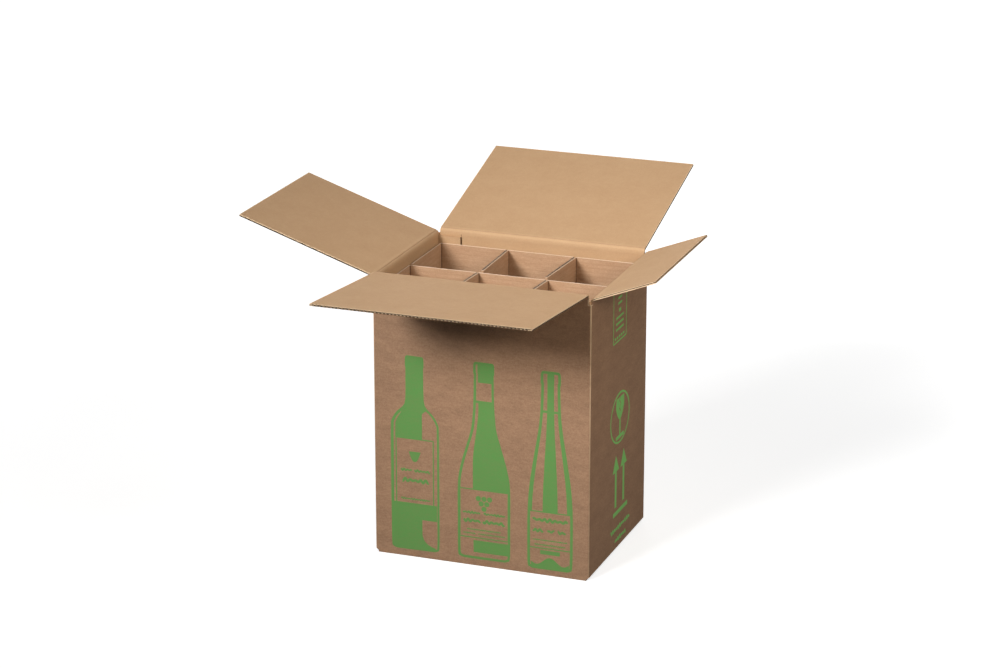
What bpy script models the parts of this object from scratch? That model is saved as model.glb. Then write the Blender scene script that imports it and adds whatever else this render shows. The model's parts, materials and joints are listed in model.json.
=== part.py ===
"""A corrugated shipping carton for six wine bottles, standing open, with its two folded dividers.

The carton is one folded and glued blank: four walls, a glue tab, a glued bottom and four top flaps.
Each top flap turns on its crease. The board's flutes run up the walls and along the flaps, so they
show as a row of small triangles at the free edge of each flap. Two dividers stand side by side
inside, each folded from one strip of thin board, and make six cells.

Metres, +Z up. X runs along the front, Y from front to rear, and the origin is on the ground under
the middle of the carton.
"""

import math

import bmesh
import bpy
from mathutils import Matrix, Vector

# Carton, outside sizes and heights of its creases
carton_length = 0.320
carton_depth = 0.248
side_crease_height = 0.406

# Board of the carton: two liners on a fluted middle
board_thickness = 0.0030
liner_thickness = 0.00045
flute_pitch = 0.0052
flute_wall_top = 0.00045
flute_wall_tip = 0.00035
flute_edge_margin = 0.0012

# Creases and folds
layer_clearance = 0.0004
hinge_offset = 0.00012
crease_clearance = 0.00012
corner_fold_radius = 0.0030
bottom_fold_radius = 0.0025
fold_segments = 3

# Slots that part neighbouring flaps, centred on the carton's upright folds
slot_half_width = 0.0045
slot_depth = 0.0050

# Top flaps: free length, and lift of the open flap above the level
left_flap_length = 0.213
right_flap_length = 0.095
rear_flap_length = 0.239
front_flap_length = 0.2245
left_flap_lift = math.radians(18.5)
right_flap_lift = math.radians(21.2)
rear_flap_lift = math.radians(16.1)
front_flap_lift = math.radians(5.0)

# Bottom flaps: the side ones lie inside, and the front and rear ones meet at a seam
bottom_side_flap_length = 0.1235
bottom_front_flap_length = 0.1360
bottom_seam = 0.0008

# Glue tab, inside the left end of the rear wall
tab_width = 0.0345
tab_top_drop = 0.0012
tab_glue_sink = 0.0005

# Dividers: thin board, folded to and fro
divider_board = 0.0016
divider_height = 0.3840
divider_ply_gap = 0.0012
divider_fold_radius = 0.0012
divider_fold_segments = 4
divider_clearance = 0.0003
partition_setback = 0.0060
middle_wall_setback = 0.0012
rear_divider_end_gap = 0.0052
front_divider_end_gap = 0.0105
rear_divider_left_inset = 0.0030
front_divider_left_inset = 0.0020
divider_shares = (1 / 3, 2 / 3)
rear_divider_leans = (0.0020, -0.0055)
front_divider_leans = (-0.0060, -0.0065)

# One overrun for every cut, and how finely its round ends are made
overrun = 0.0004
slot_end_segments = 12
slot_end_rings = 8

half_length = carton_length / 2
half_depth = carton_depth / 2
crease_step = board_thickness + layer_clearance
rear_crease_height = side_crease_height + crease_step
front_crease_height = rear_crease_height + crease_step
floor_height = 2 * board_thickness

board_colour = (0.47, 0.30, 0.18, 1.0)
divider_colour = (0.50, 0.33, 0.20, 1.0)
board_roughness = 0.85


def clear_scene():
    """Remove every object of the scene, so that a second run starts clean."""
    for thing in list(bpy.data.objects):
        bpy.data.objects.remove(thing, do_unlink=True)


def new_collection(name):
    """A collection linked to the scene, made new if the name is taken."""
    collection = bpy.data.collections.new(name)
    bpy.context.scene.collection.children.link(collection)
    return collection


def new_material(name, colour):
    """A matt paper surface of one colour."""
    material = bpy.data.materials.new(name)
    material.use_nodes = True
    shader = material.node_tree.nodes["Principled BSDF"]
    shader.inputs["Base Color"].default_value = colour
    shader.inputs["Roughness"].default_value = board_roughness
    shader.inputs["Metallic"].default_value = 0.0
    return material


def add_object(name, mesh, collection, material=None):
    """An object on a mesh, in a collection, with one material."""
    thing = bpy.data.objects.new(name, mesh)
    collection.objects.link(thing)
    if material:
        mesh.materials.append(material)
    return thing


def add_box(bm, low, high):
    """Add a box between two corners to bm and return its vertices."""
    size = Vector(high) - Vector(low)
    middle = (Vector(high) + Vector(low)) / 2
    place = Matrix.Translation(middle) @ Matrix.Diagonal((*size, 1))
    return bmesh.ops.create_cube(bm, size=1, matrix=place)["verts"]


def add_prism(bm, outline, start, end, along):
    """Add a prism to bm: the outline's points are (outward, up) and it runs from start to end.

    along is "X" for an outline in the YZ plane, and "Y" for one in the XZ plane.
    """
    def corner(point, run):
        return (run, point[0], point[1]) if along == "X" else (point[0], run, point[1])

    first = [bm.verts.new(corner(point, start)) for point in outline]
    face = bm.faces.new(first)
    extruded = bmesh.ops.extrude_face_region(bm, geom=[face])["geom"]
    for vert in extruded:
        if isinstance(vert, bmesh.types.BMVert):
            vert.co[0 if along == "X" else 1] = end
    bmesh.ops.recalc_face_normals(bm, faces=bm.faces)


def finish_mesh(name, bm):
    """Turn bm into a mesh whose faces all point outwards, and free it."""
    bmesh.ops.recalc_face_normals(bm, faces=bm.faces)
    if bm.calc_volume(signed=True) < 0:
        bmesh.ops.reverse_faces(bm, faces=bm.faces)
    mesh = bpy.data.meshes.new(name)
    bm.to_mesh(mesh)
    bm.free()
    return mesh


def add_cutter(name, bm, collection):
    """An object that only shapes another one: it is drawn as wires and never rendered."""
    cutter = add_object(name, finish_mesh(name, bm), collection)
    cutter.display_type = "WIRE"
    cutter.hide_render = True
    return cutter


def use_cutter(body, cutter, operation="DIFFERENCE"):
    """Cut the cutter from the body, or join it to the body."""
    boolean = body.modifiers.new(cutter.name, "BOOLEAN")
    boolean.operation = operation
    boolean.solver = "EXACT"
    boolean.object = cutter


def arc(centre, radius, start, end, steps):
    """Points on an arc about centre, from one angle to another."""
    turns = [start + (end - start) * step / steps for step in range(steps + 1)]
    return [(centre[0] + radius * math.cos(turn), centre[1] + radius * math.sin(turn)) for turn in turns]


def fluted_channels(width):
    """Outlines of the open flutes across a board: triangles that point down and up by turns."""
    count = int((width - 2 * flute_edge_margin) / flute_pitch)
    first = -count * flute_pitch / 2
    low = hinge_offset + liner_thickness
    high = hinge_offset + board_thickness - liner_thickness
    half = flute_pitch / 2
    channels = []
    for place in range(count):
        left = first + place * flute_pitch
        channels.append([
            (left + flute_wall_top, high),
            (left + half, low + flute_wall_tip),
            (left + flute_pitch - flute_wall_top, high),
        ])
    for place in range(count - 1):
        left = first + half + place * flute_pitch
        channels.append([
            (left + flute_wall_top, low),
            (left + flute_pitch - flute_wall_top, low),
            (left + half, high - flute_wall_tip),
        ])
    return channels


def swept_outline(name, outlines, length):
    """A mesh of flat outlines swept along +Z from zero; outlines inside the first are holes."""
    curve = bpy.data.curves.new(name, "CURVE")
    curve.dimensions = "2D"
    curve.fill_mode = "BOTH"
    curve.extrude = length / 2
    for outline in outlines:
        spline = curve.splines.new("POLY")
        spline.points.add(len(outline) - 1)
        for point, place in zip(spline.points, outline):
            point.co = (place[0], place[1], 0, 1)
        spline.use_cyclic_u = True
    holder = bpy.data.objects.new(name, curve)
    bpy.context.scene.collection.objects.link(holder)
    evaluated = holder.evaluated_get(bpy.context.evaluated_depsgraph_get())
    swept = bpy.data.meshes.new_from_object(evaluated)
    bm = bmesh.new()
    bm.from_mesh(swept)
    bmesh.ops.remove_doubles(bm, verts=bm.verts, dist=liner_thickness / 100)
    bmesh.ops.translate(bm, verts=bm.verts, vec=(0, 0, length / 2))
    bpy.data.objects.remove(holder, do_unlink=True)
    bpy.data.meshes.remove(swept)
    return bm


def make_carton_body(collection, cutters, material):
    """Walls, glue tab and glued bottom: one folded blank, so one solid."""
    bm = bmesh.new()
    add_box(bm, (-half_length, -half_depth, 0), (half_length, half_depth, front_crease_height))
    bm.edges.ensure_lookup_table()
    upright = [edge for edge in bm.edges if abs(edge.verts[0].co.z - edge.verts[1].co.z) > floor_height]
    bmesh.ops.bevel(bm, geom=upright, offset=corner_fold_radius, segments=fold_segments, affect="EDGES", profile=0.5)
    under = [
        edge for edge in bm.edges
        if max(vert.co.z for vert in edge.verts) < overrun
        and abs(edge.verts[0].co.x - edge.verts[1].co.x) > half_length
    ]
    bmesh.ops.bevel(bm, geom=under, offset=bottom_fold_radius, segments=fold_segments, affect="EDGES", profile=0.5)
    body = add_object("carton_body", finish_mesh("carton_body", bm), collection, material)

    # The room inside, down to the inner bottom flaps, and the step between those flaps
    inner_x = half_length - board_thickness
    inner_y = half_depth - board_thickness
    bm = bmesh.new()
    add_box(bm, (-inner_x, -inner_y, floor_height), (inner_x, inner_y, front_crease_height + overrun))
    use_cutter(body, add_cutter("cut_room", bm, cutters))
    bm = bmesh.new()
    step_x = half_length - bottom_side_flap_length
    add_box(bm, (-step_x, -inner_y, board_thickness), (step_x, inner_y, floor_height + overrun))
    use_cutter(body, add_cutter("cut_floor_step", bm, cutters))

    # The seam between the outer bottom flaps
    seam_y = bottom_front_flap_length - half_depth
    bm = bmesh.new()
    add_box(
        bm,
        (-half_length - overrun, seam_y, -overrun),
        (half_length + overrun, seam_y + bottom_seam, board_thickness + overrun),
    )
    use_cutter(body, add_cutter("cut_bottom_seam", bm, cutters))

    # Under each side wall, the outer bottom flaps end short and the side wall turns in above them
    bm = bmesh.new()
    for side in (-1, 1):
        centre = (half_length - corner_fold_radius, board_thickness + corner_fold_radius)
        outline = [(half_length - slot_half_width, -overrun), (half_length - slot_half_width, board_thickness)]
        outline += arc(centre, corner_fold_radius, -math.pi / 2, 0, fold_segments)
        outline += [(half_length + overrun, board_thickness + corner_fold_radius), (half_length + overrun, -overrun)]
        add_prism(bm, [(side * x, z) for x, z in outline], -half_depth - overrun, half_depth + overrun, "Y")
    use_cutter(body, add_cutter("cut_side_wall_folds", bm, cutters))

    # The walls' mitred top edges, which face the flaps across the crease
    lip_x = half_length - slot_half_width + overrun
    lip_y = half_depth - slot_half_width + overrun
    above = front_crease_height + overrun

    def mitre(outer, crease_height):
        drop = crease_height - crease_clearance - hinge_offset
        inward = board_thickness + overrun
        return [
            (outer + overrun, drop + overrun),
            (outer + overrun, above),
            (outer - inward, above),
            (outer - inward, drop - inward),
        ]

    bm = bmesh.new()
    for side in (-1, 1):
        outline = [(side * x, z) for x, z in mitre(half_length, side_crease_height)]
        add_prism(bm, outline, -lip_y, lip_y, "Y")
    use_cutter(body, add_cutter("cut_side_wall_tops", bm, cutters))
    bm = bmesh.new()
    for side, crease_height in ((-1, front_crease_height), (1, rear_crease_height)):
        outline = [(side * y, z) for y, z in mitre(half_depth, crease_height)]
        add_prism(bm, outline, -lip_x, lip_x, "X")
    use_cutter(body, add_cutter("cut_long_wall_tops", bm, cutters))

    # The round-ended slots at the four upright folds, above and below
    slot_top = side_crease_height - slot_depth + slot_half_width
    slot_bottom = slot_depth - slot_half_width
    for name, spans in (
        ("cut_slots", ((slot_top, above), (-overrun, slot_bottom))),
        ("cut_slot_ends", ((slot_top, None), (slot_bottom, None))),
    ):
        bm = bmesh.new()
        for x_side in (-1, 1):
            for y_side in (-1, 1):
                corner = Vector((x_side * half_length, y_side * half_depth, 0))
                for low, high in spans:
                    if high is None:
                        place = Matrix.Translation(corner + Vector((0, 0, low)))
                        bmesh.ops.create_uvsphere(
                            bm, u_segments=slot_end_segments, v_segments=slot_end_rings,
                            radius=slot_half_width, matrix=place,
                        )
                    else:
                        reach = Vector((slot_half_width, slot_half_width, 0))
                        add_box(bm, corner - reach + Vector((0, 0, low)), corner + reach + Vector((0, 0, high)))
        use_cutter(body, add_cutter(name, bm, cutters))

    # The glue tab lies on the inside of the rear wall and is glued to it
    bm = bmesh.new()
    tab_top = side_crease_height - hinge_offset - board_thickness - tab_top_drop
    add_box(
        bm,
        (-inner_x - tab_glue_sink, inner_y - board_thickness, floor_height - tab_glue_sink),
        (-inner_x + tab_width, inner_y + tab_glue_sink, tab_top),
    )
    use_cutter(body, add_cutter("glue_tab", bm, cutters), "UNION")
    return body


def make_flap(name, width, length, place, turn, lift, collection, material):
    """A top flap of fluted board, with its origin in the middle of its crease.

    Its own X runs along the crease, Y to the free edge and Z out of the inner face. The end at
    the crease is slanted, so that it meets the wall's mitre when the flap is closed.
    """
    half = width / 2
    outline = [
        (-half, hinge_offset), (half, hinge_offset),
        (half, hinge_offset + board_thickness), (-half, hinge_offset + board_thickness),
    ]
    bm = swept_outline(name, [outline] + fluted_channels(width), length)
    for vert in bm.verts:
        across, height, along = vert.co
        slant = crease_clearance + height
        vert.co = (across, along if along > length / 2 else slant, height)
    flap = add_object(name, finish_mesh(name, bm), collection, material)
    flap.location = place
    flap.rotation_euler = (lift, 0, turn)
    return flap


def rounded_path(points, radius, steps):
    """The same path with each inner corner replaced by an arc."""
    path = [Vector(points[0])]
    for before, here, after in zip(points, points[1:], points[2:]):
        here = Vector(here)
        back = (Vector(before) - here).normalized()
        ahead = (Vector(after) - here).normalized()
        bend = back.angle(ahead)
        reach = radius / math.tan(bend / 2)
        middle = here + (back + ahead).normalized() * radius / math.sin(bend / 2)
        first = here + back * reach - middle
        last = here + ahead * reach - middle
        sweep = first.angle_signed(last)
        for step in range(steps + 1):
            path.append(middle + Matrix.Rotation(-sweep * step / steps, 2) @ first)
    path.append(Vector(points[-1]))
    return path


def strip_outline(path, thickness):
    """Both sides of a strip of even thickness that follows a path, as one closed outline."""
    left = []
    right = []
    for place, here in enumerate(path):
        before = path[max(place - 1, 0)]
        after = path[min(place + 1, len(path) - 1)]
        back = (here - before).normalized() if place else (after - here).normalized()
        ahead = (after - here).normalized() if place < len(path) - 1 else back
        along = (back + ahead).normalized()
        side = Vector((-along.y, along.x)) * thickness / 2 / max(along.dot(ahead), 0.5)
        left.append(here + side)
        right.append(here - side)
    return [tuple(point) for point in left + right[::-1]]


def make_divider(name, left, right, back, front, leans, collection, material):
    """A divider: one strip folded into a left wall, back walls, two double partitions and a right wall.

    left, right and back are the strip's outer faces, and front is where its side walls end. The
    partitions point to -Y. Each lean is how far the free edge of a partition stands off to +X.
    """
    half = divider_board / 2
    left_x = left + half
    right_x = right - half
    back_y = back - half
    ply = (divider_board + divider_ply_gap) / 2
    points = [(left_x, front), (left_x, back_y)]
    for share, lean in zip(divider_shares, leans):
        x = left_x + (right_x - left_x) * share
        end_y = front + partition_setback
        points += [(x - ply, back_y), (x - ply + lean, end_y), (x + ply + lean, end_y), (x + ply, back_y)]
    points += [(right_x, back_y), (right_x, front)]
    radius = min(divider_fold_radius, ply * 0.98)
    outline = strip_outline(rounded_path(points, radius, divider_fold_segments), divider_board)
    bm = swept_outline(name, [outline], divider_height)
    divider = add_object(name, finish_mesh(name, bm), collection, material)
    divider.location = (0, 0, floor_height + divider_clearance)
    return divider


def build():
    """Make the whole carton."""
    clear_scene()
    carton = new_collection("bottle_shipping_carton")
    cutters = new_collection("cutters")
    board = new_material("kraft_corrugated_board", board_colour)
    thin_board = new_material("thin_corrugated_board", divider_colour)

    make_carton_body(carton, cutters, board)

    long_flap_width = carton_length - 2 * slot_half_width
    side_flap_width = carton_depth - 2 * slot_half_width
    hinge_x = half_length + hinge_offset
    hinge_y = half_depth + hinge_offset
    quarter = math.pi / 2
    make_flap(
        "rear_flap", long_flap_width, rear_flap_length,
        (0, hinge_y, rear_crease_height), 0, rear_flap_lift, carton, board,
    )
    make_flap(
        "front_flap", long_flap_width, front_flap_length,
        (0, -hinge_y, front_crease_height), 2 * quarter, front_flap_lift, carton, board,
    )
    make_flap(
        "left_flap", side_flap_width, left_flap_length,
        (-hinge_x, 0, side_crease_height), quarter, left_flap_lift, carton, board,
    )
    make_flap(
        "right_flap", side_flap_width, right_flap_length,
        (hinge_x, 0, side_crease_height), -quarter, right_flap_lift, carton, board,
    )

    wall_x = half_length - board_thickness - divider_clearance
    rear_back = half_depth - 2 * board_thickness - divider_clearance
    make_divider(
        "rear_divider", -wall_x + rear_divider_left_inset, wall_x,
        rear_back, -middle_wall_setback + rear_divider_end_gap,
        rear_divider_leans, carton, thin_board,
    )
    make_divider(
        "front_divider", -wall_x + front_divider_left_inset, wall_x,
        -middle_wall_setback, -half_depth + board_thickness + front_divider_end_gap,
        front_divider_leans, carton, thin_board,
    )


build()
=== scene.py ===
"""Looks of the bottle shipping carton: board, creases, cut edges, green print and the stage."""

import json
import math
from types import SimpleNamespace

import bmesh
import bpy
import numpy as np
from mathutils import Matrix, Vector


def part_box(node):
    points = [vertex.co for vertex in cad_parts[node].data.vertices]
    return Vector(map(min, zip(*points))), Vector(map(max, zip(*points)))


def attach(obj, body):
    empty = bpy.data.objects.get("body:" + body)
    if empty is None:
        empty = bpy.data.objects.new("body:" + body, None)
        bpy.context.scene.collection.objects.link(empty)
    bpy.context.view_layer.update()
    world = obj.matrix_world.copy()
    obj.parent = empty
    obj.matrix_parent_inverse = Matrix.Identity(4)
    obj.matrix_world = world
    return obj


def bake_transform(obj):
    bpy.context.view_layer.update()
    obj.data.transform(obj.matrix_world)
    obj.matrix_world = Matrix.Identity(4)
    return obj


bl_info = {
    "name": "Bottle Shipping Carton",
    "version": (1, 0, 0),
    "blender": (4, 5, 0),
    "location": "View3D > Sidebar > Carton",
    "description": "Board, creases, cut edges and print of a corrugated carton for bottles",
    "category": "Object",
}

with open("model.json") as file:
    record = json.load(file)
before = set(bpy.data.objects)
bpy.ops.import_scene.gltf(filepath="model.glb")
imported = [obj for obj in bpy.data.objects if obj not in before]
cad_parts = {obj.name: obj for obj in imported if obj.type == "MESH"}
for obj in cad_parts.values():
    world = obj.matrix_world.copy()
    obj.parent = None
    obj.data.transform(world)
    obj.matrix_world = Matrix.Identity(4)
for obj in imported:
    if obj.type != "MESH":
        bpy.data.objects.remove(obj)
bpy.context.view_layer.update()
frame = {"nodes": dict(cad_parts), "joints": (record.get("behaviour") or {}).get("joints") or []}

millimetre = 0.001

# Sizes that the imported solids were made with
board_thickness = 3.0 * millimetre
hinge_offset = 0.12 * millimetre
crease_clearance = 0.12 * millimetre
slot_half_width = 4.5 * millimetre
slot_bottom = 401.0 * millimetre
flute_pitch = 5.2 * millimetre
divider_board = 1.6 * millimetre
divider_flute_pitch = 3.2 * millimetre
ply_gap = 1.2 * millimetre
nose_setback = 6.0 * millimetre
tab_width = 34.5 * millimetre
# How far each top flap stands up from the level, in degrees
lifts = {"front": 5.0, "rear": 16.1, "left": 18.5, "right": 21.2}
# How far the nose of each partition stands to the right of its root
divider_leans = {
    "rear_divider": (2.0 * millimetre, -5.5 * millimetre),
    "front_divider": (-6.0 * millimetre, -6.5 * millimetre),
}
outwards = {"front": (0, -1, 0), "rear": (0, 1, 0), "left": (-1, 0, 0), "right": (1, 0, 0)}

body_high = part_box("carton_body")[1]
half_length = body_high.x
half_depth = body_high.y
divider_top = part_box("front_divider")[1].z
tab_edge_x = -half_length + board_thickness + tab_width
tab_line_top = 405.5 * millimetre

# How strongly the pulp shows on the smoother inside of the board
inner_tone = 0.7
# The blur of an edge that is drawn sharp
sharp = 0.02 * millimetre

# The printed bottles, as (height, half width) in millimetres from the base up
high_shoulder_profile = (
    (0, 28.0), (1.5, 32.0), (6, 34.0), (40, 34.4), (120, 34.4), (178, 34.2), (190, 32.6), (201, 26.0),
    (211, 16.0), (219, 12.6), (234, 11.6), (256, 11.4), (270, 11.4), (272, 12.0), (282, 12.0), (285, 11.4))
sloping_profile = (
    (0, 30.0), (1.5, 34.0), (7, 37.0), (50, 37.3), (106, 37.0), (132, 33.6), (162, 25.4), (190, 17.2),
    (215, 14.4), (240, 13.2), (260, 13.0), (272, 12.8), (274, 13.6), (284, 13.6), (288, 12.8))
slim_profile = (
    (0, 25.0), (1.5, 28.5), (7, 31.0), (50, 31.5), (88, 31.0), (122, 28.4), (160, 22.8), (200, 16.2),
    (230, 13.0), (270, 11.8), (272, 12.6), (283, 12.6), (288, 11.8))


def linear(hex_colour):
    """sRGB hex to a linear colour: the low part is a straight line, the rest a power curve."""
    codes = np.array([int(hex_colour[place:place + 2], 16) for place in (1, 3, 5)]) / 255
    return tuple(np.where(codes <= 0.04045, codes / 12.92, ((codes + 0.055) / 1.055) ** 2.4).tolist())


def side_frame(side):
    """Place and directions of the top flap on one side.

    The flap runs from its axis along flap_run, and its inner face looks along flap_up. mid lies
    halfway between the ways that the wall's and the flap's inner faces look.
    """
    joint = next(joint for joint in frame["joints"] if joint["name"] == side + "_flap_crease")
    outward = np.array(outwards[side], float)
    up = np.array((0, 0, 1.0))
    along = np.cross(outward, up)
    lift = math.radians(lifts[side])
    flap_up = math.cos(lift) * up - math.sin(lift) * outward
    return SimpleNamespace(
        axis=np.array(joint["pos_m"], float), outward=outward, up=up, along=along, lift=lift,
        flap_run=math.cos(lift) * outward + math.sin(lift) * up, flap_up=flap_up,
        mid=(flap_up - outward) / np.linalg.norm(flap_up - outward),
        half_width=(half_length if abs(along[0]) > 0.5 else half_depth) - slot_half_width,
        body=side + "_top_flap")


def colour_setting(name, description, hex_colour):
    """A colour that a user can change, with its default."""
    return bpy.props.FloatVectorProperty(
        name=name, description=description, subtype="COLOR", min=0, max=1, default=linear(hex_colour))


def length_setting(name, description, length):
    """A length that a user can change, with its default."""
    return bpy.props.FloatProperty(
        name=name, description=description, subtype="DISTANCE", unit="LENGTH", min=0, default=length)


def power_setting(name, description, watts):
    """A lamp's power that a user can change, with its default."""
    return bpy.props.FloatProperty(
        name=name, description=description, subtype="POWER", unit="POWER", min=0, default=watts)


class CartonColours(bpy.types.PropertyGroup):
    """Colours of the board and of the ink."""

    outer: colour_setting("Outer liner", "Kraft liner on the outside", "#b08b6d")
    outer_dark: colour_setting("Outer fibres", "Darker pulp in the outer liner", "#907058")
    inner: colour_setting("Inner liner", "Paler liner on the inside", "#c3a07b")
    inner_dark: colour_setting("Inner fibres", "Darker pulp in the inner liner", "#b6916c")
    divider: colour_setting("Divider liner", "Liner of the thin board", "#c5a283")
    divider_dark: colour_setting("Divider fibres", "Darker pulp in the thin board", "#ae8868")
    cut: colour_setting("Cut edge", "Raw edge of a liner where the board is cut", "#e2c4a0")
    thin_cut: colour_setting("Thin board's edge", "Raw, rather grey edge of the thin board's liners", "#e2c8ae")
    # Painted shade: the fluting's brown darkened for the upper half of open flutes, and a dark brown for the
    # shade inside flutes, folds, slits and cut edges
    shaded_fluting: colour_setting("Fluting", "Shaded upper half of the flutes at a cut edge", "#6b543d")
    core: colour_setting("Flute shade", "Shade between the liners at a cut edge", "#43311f")
    ink: colour_setting("Front ink", "Green water-based ink on the front", "#5b954c")
    # The right side's ink is painted lighter than the front's, as painted light that makes up for the weaker
    # light on that side
    side_ink_painted_lighter: colour_setting("Side ink", "The same ink laid on more thickly on the right side", "#83d16d")


class CartonSizes(bpy.types.PropertyGroup):
    """Sizes of the details."""

    ridge: length_setting("Shoulder", "How far the crushed board swells beside a crease", 0.35 * millimetre)
    groove: length_setting("Groove", "Depth of the thin groove in a crease", 0.4 * millimetre)
    lip: length_setting("Edge lip", "How far the liners stand up at the dividers' cut edge", 0.6 * millimetre)
    ink_film: length_setting("Ink film", "Thickness of the ink with the fibres it raises", 0.06 * millimetre)
    stroke: length_setting("Stroke", "Width of the printed outlines", 3.0 * millimetre)


class CartonStage(bpy.types.PropertyGroup):
    """Camera and lamps."""

    turn: bpy.props.FloatProperty(
        name="Camera turn", description="Angle from the front towards the right side",
        subtype="ANGLE", unit="ROTATION", default=math.radians(20.416))
    height: bpy.props.FloatProperty(
        name="Camera tilt", description="Angle above the level",
        subtype="ANGLE", unit="ROTATION", default=math.radians(18.085))
    distance: length_setting("Camera distance", "From the point that it looks at", 4.3506)
    lens: bpy.props.FloatProperty(
        name="Lens", description="Focal length on a 36 mm sensor", unit="CAMERA", default=111.14)
    key: power_setting("Key lamp", "Large soft lamp at the front left", 9.2)
    right: power_setting("Right lamp", "Narrow soft lamp at the front right", 0.56)
    top: power_setting("Top lamp", "Soft lamp overhead", 1.8)
    rear: power_setting("Rear lamp", "Soft lamp behind and to the left", 1.6)
    fill: bpy.props.FloatProperty(name="Fill", description="Light from all round", min=0, default=0.2)


def add(tree, kind, inputs=None, **settings):
    """One node with its settings, as its outputs.

    inputs maps a socket to a value, or to the output that is linked to it. A colour gets full alpha.
    """
    node = tree.nodes.new("ShaderNode" + kind)
    for name, value in settings.items():
        setattr(node, name, value)
    for name, value in (inputs or {}).items():
        socket = node.inputs[name]
        if isinstance(value, bpy.types.NodeSocket):
            tree.links.new(value, socket)
        else:
            socket.default_value = (*value[:3], 1) if socket.type == "RGBA" else value
    return node.outputs


def where(tree, strength, *limits):
    """A share that is the strength where every limit holds and 0 elsewhere.

    The strength is multiplied by a ramp for each (value, limit, width). A ramp goes from 0 before its
    limit to 1 past it, over its width, and a negative width turns it round.
    """
    share = strength
    for value, limit, width in limits:
        ramp = add(tree, "MapRange", {
            "Value": value, "From Min": limit - width / 2, "From Max": limit + width / 2})["Result"]
        share = add(tree, "Math", {0: share, 1: ramp}, operation="MULTIPLY")["Value"]
    return share


def within(value, low, high, width=sharp):
    """The two limits that hold between a low and a high value."""
    return (value, low, width), (value, high, -width)


def either(tree, *shares):
    """The largest of several shares."""
    most = shares[0]
    for share in shares[1:]:
        most = add(tree, "Math", {0: most, 1: share}, operation="MAXIMUM")["Value"]
    return most


def paint(tree, colour, *coats):
    """A colour under coats of (share, colour): a coat hides what is under it by its share."""
    for share, coat in coats:
        colour = add(tree, "Mix", {"Factor": share, "A": colour, "B": coat}, data_type="RGBA")["Result"]
    return colour


def start_material(name):
    """A new material with its tree emptied, and the tree and the object coordinates."""
    material = bpy.data.materials.new(name)
    material.use_nodes = True
    tree = material.node_tree
    tree.nodes.clear()
    return material, tree, add(tree, "TexCoord")["Object"]


def finish_material(tree, colour, height, roughness=0.86, relief=0.35 * millimetre):
    """Matt paper: rough, hardly shiny, with its relief as a bump."""
    bump = add(tree, "Bump", {"Strength": 0.55, "Distance": relief, "Height": height})["Normal"]
    shader = add(tree, "BsdfPrincipled", {
        "Base Color": colour, "Roughness": roughness, "IOR": 1.45, "Specular IOR Level": 0.25, "Normal": bump})
    add(tree, "OutputMaterial", {"Surface": shader["BSDF"]})


def liner_look(tree, place, base, dark, band=(1.0, 1.0, 2.6), tone=1.0):
    """Kraft liner as (colour, height); tone is how strongly its pulp shows.

    Clouds of pulp about 40 mm wide and lumps of 7 mm, drawn out level into faint bands, give the
    uneven tone. Fibres are 0.1 mm wide and are drawn 1.6 mm wide here, so that they show in the
    render. Each pattern is a noise whose middle stretch is drawn from 0 to its own share, and the
    shares are added.
    """
    banded = add(tree, "Mapping", {"Vector": place, "Scale": band})["Vector"]
    patterns = (
        # where, size, detail, roughness, reach from the middle, share
        (banded, 40.0 * millimetre, 4.0, 0.62, 0.18, 0.42),
        (banded, 7.0 * millimetre, 3.0, 0.60, 0.15, 0.28),
        (place, 1.6 * millimetre, 2.0, 0.70, 0.15, 0.45),
    )
    share = 0.0
    for spot, size, detail, roughness, reach, strength in patterns:
        noise = add(tree, "TexNoise", {
            "Vector": spot, "Scale": 1 / size, "Detail": detail, "Roughness": roughness})["Fac"]
        pulp = add(tree, "MapRange", {
            "Value": noise, "From Min": 0.5 - reach, "From Max": 0.5 + reach,
            "To Max": strength * tone})["Result"]
        share = add(tree, "Math", {0: share, 1: pulp}, operation="ADD", use_clamp=True)["Value"]
    return paint(tree, base, (share, dark)), noise


def washboard(tree, height, across, pitch, share):
    """Adds the flutes that press through the liner: a sine of the way across them."""
    turns = add(tree, "Math", {0: across, 1: 2 * math.pi / pitch}, operation="MULTIPLY")["Value"]
    wave = add(tree, "Math", {0: turns}, operation="SINE")["Value"]
    return add(tree, "Math", {0: wave, 1: share, 2: height}, operation="MULTIPLY_ADD")["Value"]


def tab_line(tree, place, colour, colours):
    """The glue tab's cut edge, a dark upright line of painted shade on the inside of the rear wall, up to the
    crease.
    """
    half_line = 0.45 * millimetre
    slack = 0.2 * millimetre
    x, y, z = add(tree, "SeparateXYZ", {0: place})
    line = where(
        tree, 0.7, *within(x, tab_edge_x - half_line, tab_edge_x + half_line),
        *within(y, half_depth - 2 * board_thickness - slack, half_depth - board_thickness + slack),
        (z, tab_line_top, -sharp))
    return paint(tree, colour, (line, colours.core))


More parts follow.
